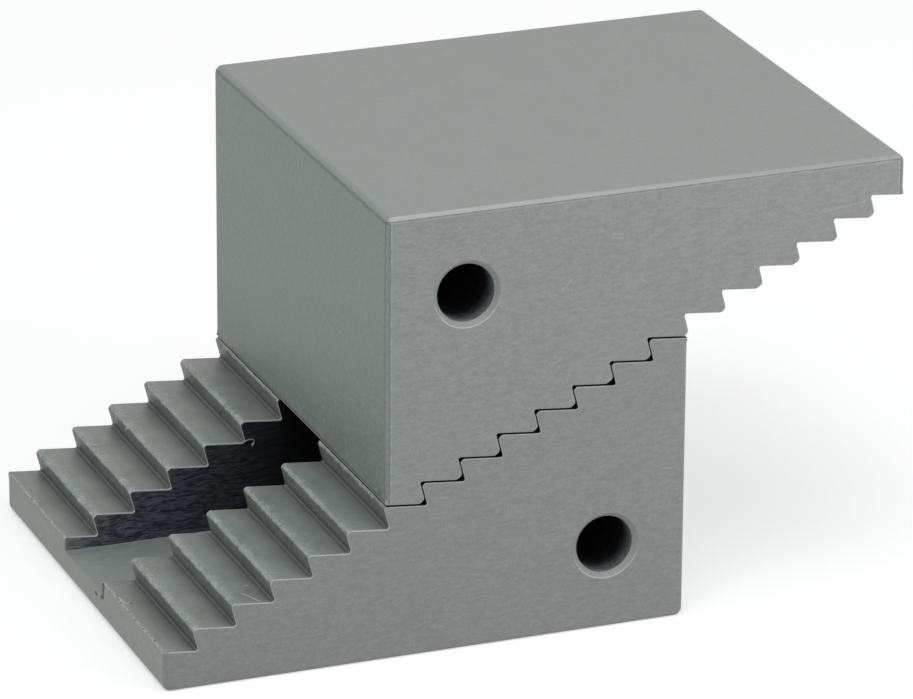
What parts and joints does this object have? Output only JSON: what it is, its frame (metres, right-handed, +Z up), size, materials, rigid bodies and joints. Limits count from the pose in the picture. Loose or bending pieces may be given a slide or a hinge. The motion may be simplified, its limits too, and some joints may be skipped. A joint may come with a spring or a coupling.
{
  "type": "adjustable step block pair",
  "caption": "Pair of cast iron step blocks with interlocking undercut teeth, nested as a height-adjustable support for clamping; grey paint, cored pocket, cross holes.",
  "frame": {"origin": "centre of the lower block's base face", "axes": "+X along the base towards the lower block's tall end, up its slope; +Y across the blocks; +Z up, normal to the base"},
  "size_m": [0.1569, 0.101, 0.0929],
  "materials": {
    "lower_block": "satin grey paint over cast iron",
    "upper_block": "satin grey paint over cast iron"
  },
  "bodies": {
    "root": {"lower_block": "lower_block", "upper_block": "upper_block"}
  },
  "joints": []
}
